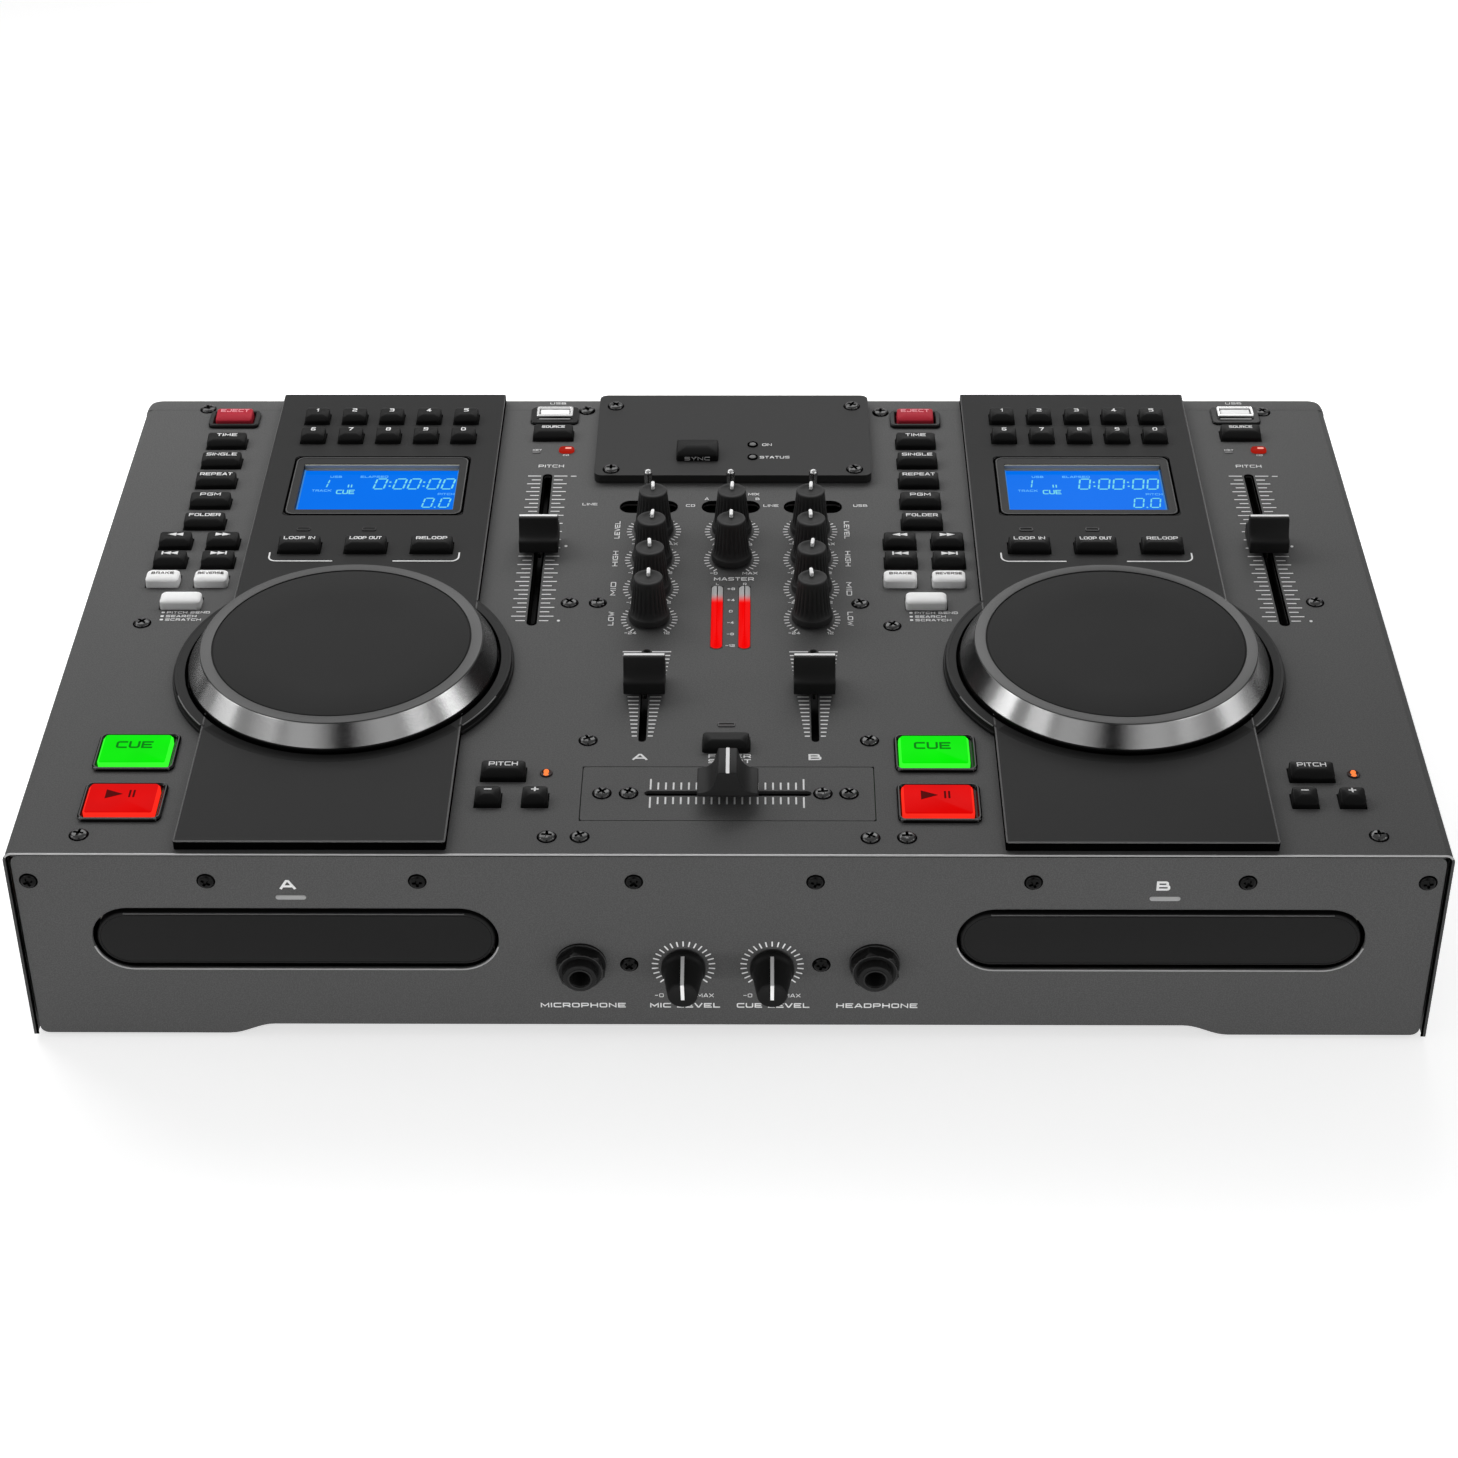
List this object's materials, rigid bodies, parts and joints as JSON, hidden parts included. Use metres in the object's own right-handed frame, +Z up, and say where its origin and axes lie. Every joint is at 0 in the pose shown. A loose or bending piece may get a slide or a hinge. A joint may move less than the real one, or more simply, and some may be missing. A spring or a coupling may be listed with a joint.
{
  "type": "dual disc player and mixer for a DJ",
  "caption": "Table-top player for two discs, with turning jog wheels, sliding trays, pitch faders, displays and a small mixer between the two decks.",
  "frame": {"origin": "on the table under the middle of the whole object, front knobs and rear sockets included", "axes": "+X to the user's right along the length, +Y to the back, away from the front panel, +Z up"},
  "size_m": [0.482, 0.324, 0.1],
  "materials": {
    "casing": "fine-textured dark grey powder coat",
    "overlay": "smooth dark overlay",
    "display": "blue backlit liquid-crystal window in a dark frame",
    "circuit_board": "green board with black switches",
    "drive_steel": "plain zinc-plated sheet",
    "black_plastic": "moulded black",
    "tray_plastic": "moulded black, fine grain",
    "jog_rim": "brushed round the rim, with a black top",
    "key_plastic": "satin black",
    "eject_plastic": "translucent red",
    "cue_lens": "green lens, lit from below",
    "play_lens": "red lens, lit from below",
    "fader_cap": "satin black with a white line",
    "knob_plastic": "soft black with a white pointer",
    "lever_chrome": "polished"
  },
  "bodies": {
    "casing": {"top_cover": "casing", "front_panel": "casing", "chassis": "casing", "crossfader_plate": "casing", "center_plate": "overlay", "deck_panel_left": "overlay", "deck_panel_right": "overlay", "display_left": "display", "display_right": "display", "control_board": "circuit_board", "front_board": "circuit_board", "disc_drive_left": "drive_steel", "disc_drive_right": "drive_steel", "rear_jacks": "black_plastic", "power_supply": "black_plastic", "microphone_jack": "black_plastic", "headphone_jack": "black_plastic"},
    "jog_wheel_left": {"jog_wheel_left": "jog_rim"},
    "jog_wheel_right": {"jog_wheel_right": "jog_rim"},
    "disc_tray_left": {"disc_tray_left": "tray_plastic"},
    "disc_tray_right": {"disc_tray_right": "tray_plastic"},
    "pitch_fader_left": {"pitch_fader_left": "fader_cap"},
    "pitch_fader_right": {"pitch_fader_right": "fader_cap"},
    "channel_fader_left": {"channel_fader_left": "fader_cap"},
    "channel_fader_right": {"channel_fader_right": "fader_cap"},
    "crossfader": {"crossfader": "fader_cap"},
    "cue_button_left": {"cue_button_left": "cue_lens"},
    "play_button_left": {"play_button_left": "play_lens"},
    "cue_button_right": {"cue_button_right": "cue_lens"},
    "play_button_right": {"play_button_right": "play_lens"},
    "eject_key_left": {"eject_key_left": "eject_plastic"},
    "eject_key_right": {"eject_key_right": "eject_plastic"},
    "level_knob_left": {"level_knob_left": "knob_plastic"},
    "high_knob_left": {"high_knob_left": "knob_plastic"},
    "mid_knob_left": {"mid_knob_left": "knob_plastic"},
    "low_knob_left": {"low_knob_left": "knob_plastic"},
    "level_knob_right": {"level_knob_right": "knob_plastic"},
    "high_knob_right": {"high_knob_right": "knob_plastic"},
    "mid_knob_right": {"mid_knob_right": "knob_plastic"},
    "low_knob_right": {"low_knob_right": "knob_plastic"},
    "cue_mix_knob": {"cue_mix_knob": "knob_plastic"},
    "master_knob": {"master_knob": "knob_plastic"},
    "microphone_knob": {"microphone_knob": "knob_plastic"},
    "headphone_knob": {"headphone_knob": "knob_plastic"},
    "input_toggle_left": {"input_toggle_left": "lever_chrome"},
    "cue_toggle": {"cue_toggle": "lever_chrome"},
    "input_toggle_right": {"input_toggle_right": "lever_chrome"},
    "power_switch": {"power_switch": "key_plastic"},
    "fader_start_key": {"fader_start_key": "key_plastic"},
    "pairing_key": {"pairing_key": "key_plastic"},
    "number_keys_left": {"number_keys_left": "key_plastic"},
    "number_keys_right": {"number_keys_right": "key_plastic"},
    "loop_keys_left": {"loop_keys_left": "key_plastic"},
    "loop_keys_right": {"loop_keys_right": "key_plastic"},
    "function_keys_left": {"function_keys_left": "key_plastic"},
    "function_keys_right": {"function_keys_right": "key_plastic"},
    "source_key_left": {"source_key_left": "key_plastic"},
    "source_key_right": {"source_key_right": "key_plastic"},
    "pitch_keys_left": {"pitch_keys_left": "key_plastic"},
    "pitch_keys_right": {"pitch_keys_right": "key_plastic"}
  },
  "joints": [
    {"name": "jog_spin_left", "type": "hinge", "parent": "casing", "child": "jog_wheel_left", "pos_m": [-0.1388, -0.0398, 0.0815], "axis": [0, 0, 1], "continuous": true},
    {"name": "jog_spin_right", "type": "hinge", "parent": "casing", "child": "jog_wheel_right", "pos_m": [0.1378, -0.0398, 0.0815], "axis": [0, 0, 1], "continuous": true},
    {"name": "tray_slide_left", "type": "slide", "parent": "casing", "child": "disc_tray_left", "axis": [0, -1, 0], "range_m": [0, 0.138]},
    {"name": "tray_slide_right", "type": "slide", "parent": "casing", "child": "disc_tray_right", "axis": [0, -1, 0], "range_m": [0, 0.138]},
    {"name": "pitch_slide_left", "type": "slide", "parent": "casing", "child": "pitch_fader_left", "axis": [0, 1, 0], "range_m": [-0.048, 0.048]},
    {"name": "pitch_slide_right", "type": "slide", "parent": "casing", "child": "pitch_fader_right", "axis": [0, 1, 0], "range_m": [-0.048, 0.048]},
    {"name": "channel_slide_left", "type": "slide", "parent": "casing", "child": "channel_fader_left", "axis": [0, 1, 0], "range_m": [-0.029, 0.02]},
    {"name": "channel_slide_right", "type": "slide", "parent": "casing", "child": "channel_fader_right", "axis": [0, 1, 0], "range_m": [-0.029, 0.02]},
    {"name": "crossfader_slide", "type": "slide", "parent": "casing", "child": "crossfader", "axis": [1, 0, 0], "range_m": [-0.0225, 0.0225]},
    {"name": "cue_press_left", "type": "slide", "parent": "casing", "child": "cue_button_left", "axis": [0, 0, -1], "range_m": [0, 0.0008], "stiffness_N_per_m": 600, "springref_m": -0.001},
    {"name": "play_press_left", "type": "slide", "parent": "casing", "child": "play_button_left", "axis": [0, 0, -1], "range_m": [0, 0.0008], "stiffness_N_per_m": 600, "springref_m": -0.001},
    {"name": "cue_press_right", "type": "slide", "parent": "casing", "child": "cue_button_right", "axis": [0, 0, -1], "range_m": [0, 0.0008], "stiffness_N_per_m": 600, "springref_m": -0.001},
    {"name": "play_press_right", "type": "slide", "parent": "casing", "child": "play_button_right", "axis": [0, 0, -1], "range_m": [0, 0.0008], "stiffness_N_per_m": 600, "springref_m": -0.001},
    {"name": "eject_press_left", "type": "slide", "parent": "casing", "child": "eject_key_left", "axis": [0, 0, -1], "range_m": [0, 0.0008], "stiffness_N_per_m": 600, "springref_m": -0.001},
    {"name": "eject_press_right", "type": "slide", "parent": "casing", "child": "eject_key_right", "axis": [0, 0, -1], "range_m": [0, 0.0008], "stiffness_N_per_m": 600, "springref_m": -0.001},
    {"name": "level_turn_left", "type": "hinge", "parent": "casing", "child": "level_knob_left", "pos_m": [-0.03, 0.0534, 0.0815], "axis": [0, 0, 1], "range_deg": [-150, 150]},
    {"name": "high_turn_left", "type": "hinge", "parent": "casing", "child": "high_knob_left", "pos_m": [-0.03, 0.0332, 0.0815], "axis": [0, 0, 1], "range_deg": [-150, 150]},
    {"name": "mid_turn_left", "type": "hinge", "parent": "casing", "child": "mid_knob_left", "pos_m": [-0.03, 0.013, 0.0815], "axis": [0, 0, 1], "range_deg": [-150, 150]},
    {"name": "low_turn_left", "type": "hinge", "parent": "casing", "child": "low_knob_left", "pos_m": [-0.03, -0.0072, 0.0815], "axis": [0, 0, 1], "range_deg": [-150, 150]},
    {"name": "level_turn_right", "type": "hinge", "parent": "casing", "child": "level_knob_right", "pos_m": [0.03, 0.0534, 0.0815], "axis": [0, 0, 1], "range_deg": [-150, 150]},
    {"name": "high_turn_right", "type": "hinge", "parent": "casing", "child": "high_knob_right", "pos_m": [0.03, 0.0332, 0.0815], "axis": [0, 0, 1], "range_deg": [-150, 150]},
    {"name": "mid_turn_right", "type": "hinge", "parent": "casing", "child": "mid_knob_right", "pos_m": [0.03, 0.013, 0.0815], "axis": [0, 0, 1], "range_deg": [-150, 150]},
    {"name": "low_turn_right", "type": "hinge", "parent": "casing", "child": "low_knob_right", "pos_m": [0.03, -0.0072, 0.0815], "axis": [0, 0, 1], "range_deg": [-150, 150]},
    {"name": "cue_mix_turn", "type": "hinge", "parent": "casing", "child": "cue_mix_knob", "pos_m": [0, 0.0534, 0.0815], "axis": [0, 0, 1], "range_deg": [-150, 150]},
    {"name": "master_turn", "type": "hinge", "parent": "casing", "child": "master_knob", "pos_m": [0, 0.0332, 0.0815], "axis": [0, 0, 1], "range_deg": [-150, 150]},
    {"name": "microphone_turn", "type": "hinge", "parent": "casing", "child": "microphone_knob", "pos_m": [-0.0151, -0.1462, 0.0325], "axis": [0, -1, 0], "range_deg": [-150, 150]},
    {"name": "headphone_turn", "type": "hinge", "parent": "casing", "child": "headphone_knob", "pos_m": [0.0151, -0.1462, 0.0325], "axis": [0, -1, 0], "range_deg": [-150, 150]},
    {"name": "input_toggle_left_tilt", "type": "hinge", "parent": "casing", "child": "input_toggle_left", "pos_m": [-0.0325, 0.071, 0.0745], "axis": [0, 1, 0], "range_deg": [-15, 15]},
    {"name": "cue_toggle_tilt", "type": "hinge", "parent": "casing", "child": "cue_toggle", "pos_m": [-0.0006, 0.071, 0.0745], "axis": [0, 1, 0], "range_deg": [-15, 15]},
    {"name": "input_toggle_right_tilt", "type": "hinge", "parent": "casing", "child": "input_toggle_right", "pos_m": [0.0313, 0.071, 0.0745], "axis": [0, 1, 0], "range_deg": [-15, 15]},
    {"name": "power_switch_tip", "type": "hinge", "parent": "casing", "child": "power_switch", "pos_m": [0.138, 0.1516, 0.04], "axis": [1, 0, 0], "range_deg": [-12, 0]},
    {"name": "fader_start_press", "type": "slide", "parent": "casing", "child": "fader_start_key", "axis": [0, 0, -1], "range_m": [0, 0.0008], "stiffness_N_per_m": 600, "springref_m": -0.001},
    {"name": "pairing_press", "type": "slide", "parent": "casing", "child": "pairing_key", "axis": [0, 0, -1], "range_m": [0, 0.0008], "stiffness_N_per_m": 600, "springref_m": -0.001},
    {"name": "number_keys_press_left", "type": "slide", "parent": "casing", "child": "number_keys_left", "axis": [0, 0, -1], "range_m": [0, 0.0008], "stiffness_N_per_m": 600, "springref_m": -0.001},
    {"name": "number_keys_press_right", "type": "slide", "parent": "casing", "child": "number_keys_right", "axis": [0, 0, -1], "range_m": [0, 0.0008], "stiffness_N_per_m": 600, "springref_m": -0.001},
    {"name": "loop_keys_press_left", "type": "slide", "parent": "casing", "child": "loop_keys_left", "axis": [0, 0, -1], "range_m": [0, 0.0008], "stiffness_N_per_m": 600, "springref_m": -0.001},
    {"name": "loop_keys_press_right", "type": "slide", "parent": "casing", "child": "loop_keys_right", "axis": [0, 0, -1], "range_m": [0, 0.0008], "stiffness_N_per_m": 600, "springref_m": -0.001},
    {"name": "function_keys_press_left", "type": "slide", "parent": "casing", "child": "function_keys_left", "axis": [0, 0, -1], "range_m": [0, 0.0008], "stiffness_N_per_m": 600, "springref_m": -0.001},
    {"name": "function_keys_press_right", "type": "slide", "parent": "casing", "child": "function_keys_right", "axis": [0, 0, -1], "range_m": [0, 0.0008], "stiffness_N_per_m": 600, "springref_m": -0.001},
    {"name": "source_key_press_left", "type": "slide", "parent": "casing", "child": "source_key_left", "axis": [0, 0, -1], "range_m": [0, 0.0008], "stiffness_N_per_m": 600, "springref_m": -0.001},
    {"name": "source_key_press_right", "type": "slide", "parent": "casing", "child": "source_key_right", "axis": [0, 0, -1], "range_m": [0, 0.0008], "stiffness_N_per_m": 600, "springref_m": -0.001},
    {"name": "pitch_keys_press_left", "type": "slide", "parent": "casing", "child": "pitch_keys_left", "axis": [0, 0, -1], "range_m": [0, 0.0008], "stiffness_N_per_m": 600, "springref_m": -0.001},
    {"name": "pitch_keys_press_right", "type": "slide", "parent": "casing", "child": "pitch_keys_right", "axis": [0, 0, -1], "range_m": [0, 0.0008], "stiffness_N_per_m": 600, "springref_m": -0.001}
  ]
}
